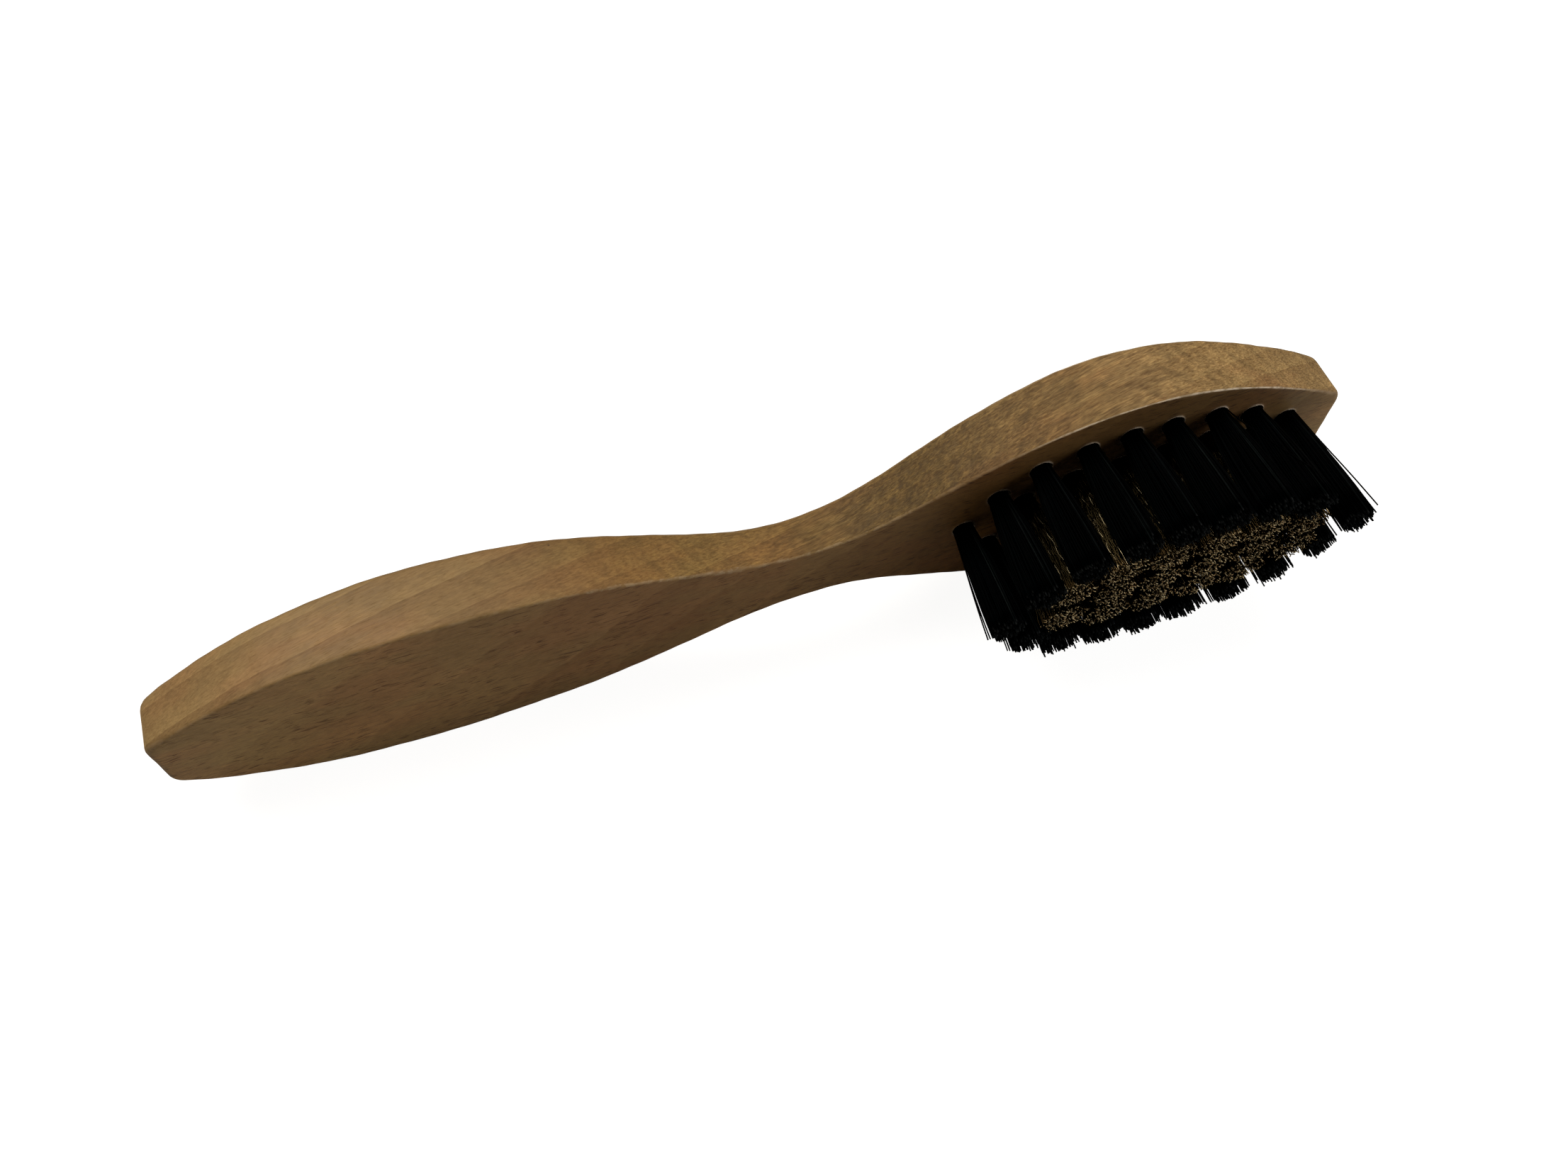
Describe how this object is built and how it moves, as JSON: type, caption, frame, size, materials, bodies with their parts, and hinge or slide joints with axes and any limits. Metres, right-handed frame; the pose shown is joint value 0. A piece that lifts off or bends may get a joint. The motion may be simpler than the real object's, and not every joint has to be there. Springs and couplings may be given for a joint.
{
  "type": "clothes brush",
  "caption": "Beech clothes brush with a waisted handle, a ring of black nylon tufts around a field of crimped brass-wire tufts.",
  "frame": {"origin": "on the flat wooden face that the tufts are set in, on the plane of symmetry, in the middle of the field of tufts", "axes": "+X along the handle from the tail to the head end, -Y the way the bristles point, +Z across the width and up, so the brush lies on its long side"},
  "size_m": [0.166, 0.0292, 0.035],
  "materials": {
    "handle_wood": "oiled, satin",
    "black_nylon": "satin filaments",
    "brass_wire": "bright drawn wire",
    "anchor_steel": "galvanised flat wire"
  },
  "bodies": {
    "root": {"wooden_handle": "handle_wood", "nylon_tuft_01": "black_nylon", "nylon_tuft_02": "black_nylon", "nylon_tuft_03": "black_nylon", "nylon_tuft_04": "black_nylon", "nylon_tuft_05": "black_nylon", "nylon_tuft_06": "black_nylon", "nylon_tuft_07": "black_nylon", "nylon_tuft_08": "black_nylon", "nylon_tuft_09": "black_nylon", "nylon_tuft_10": "black_nylon", "nylon_tuft_11": "black_nylon", "nylon_tuft_12": "black_nylon", "nylon_tuft_13": "black_nylon", "nylon_tuft_14": "black_nylon", "nylon_tuft_15": "black_nylon", "nylon_tuft_16": "black_nylon", "nylon_tuft_17": "black_nylon", "brass_tuft_01": "brass_wire", "brass_tuft_02": "brass_wire", "brass_tuft_03": "brass_wire", "brass_tuft_04": "brass_wire", "brass_tuft_05": "brass_wire", "brass_tuft_06": "brass_wire", "brass_tuft_07": "brass_wire", "brass_tuft_08": "brass_wire", "brass_tuft_09": "brass_wire", "brass_tuft_10": "brass_wire", "brass_tuft_11": "brass_wire", "brass_tuft_12": "brass_wire", "brass_tuft_13": "brass_wire", "brass_tuft_14": "brass_wire", "brass_tuft_15": "brass_wire", "brass_tuft_16": "brass_wire", "nylon_tuft_anchors": "anchor_steel", "brass_tuft_anchors": "anchor_steel"}
  },
  "joints": []
}
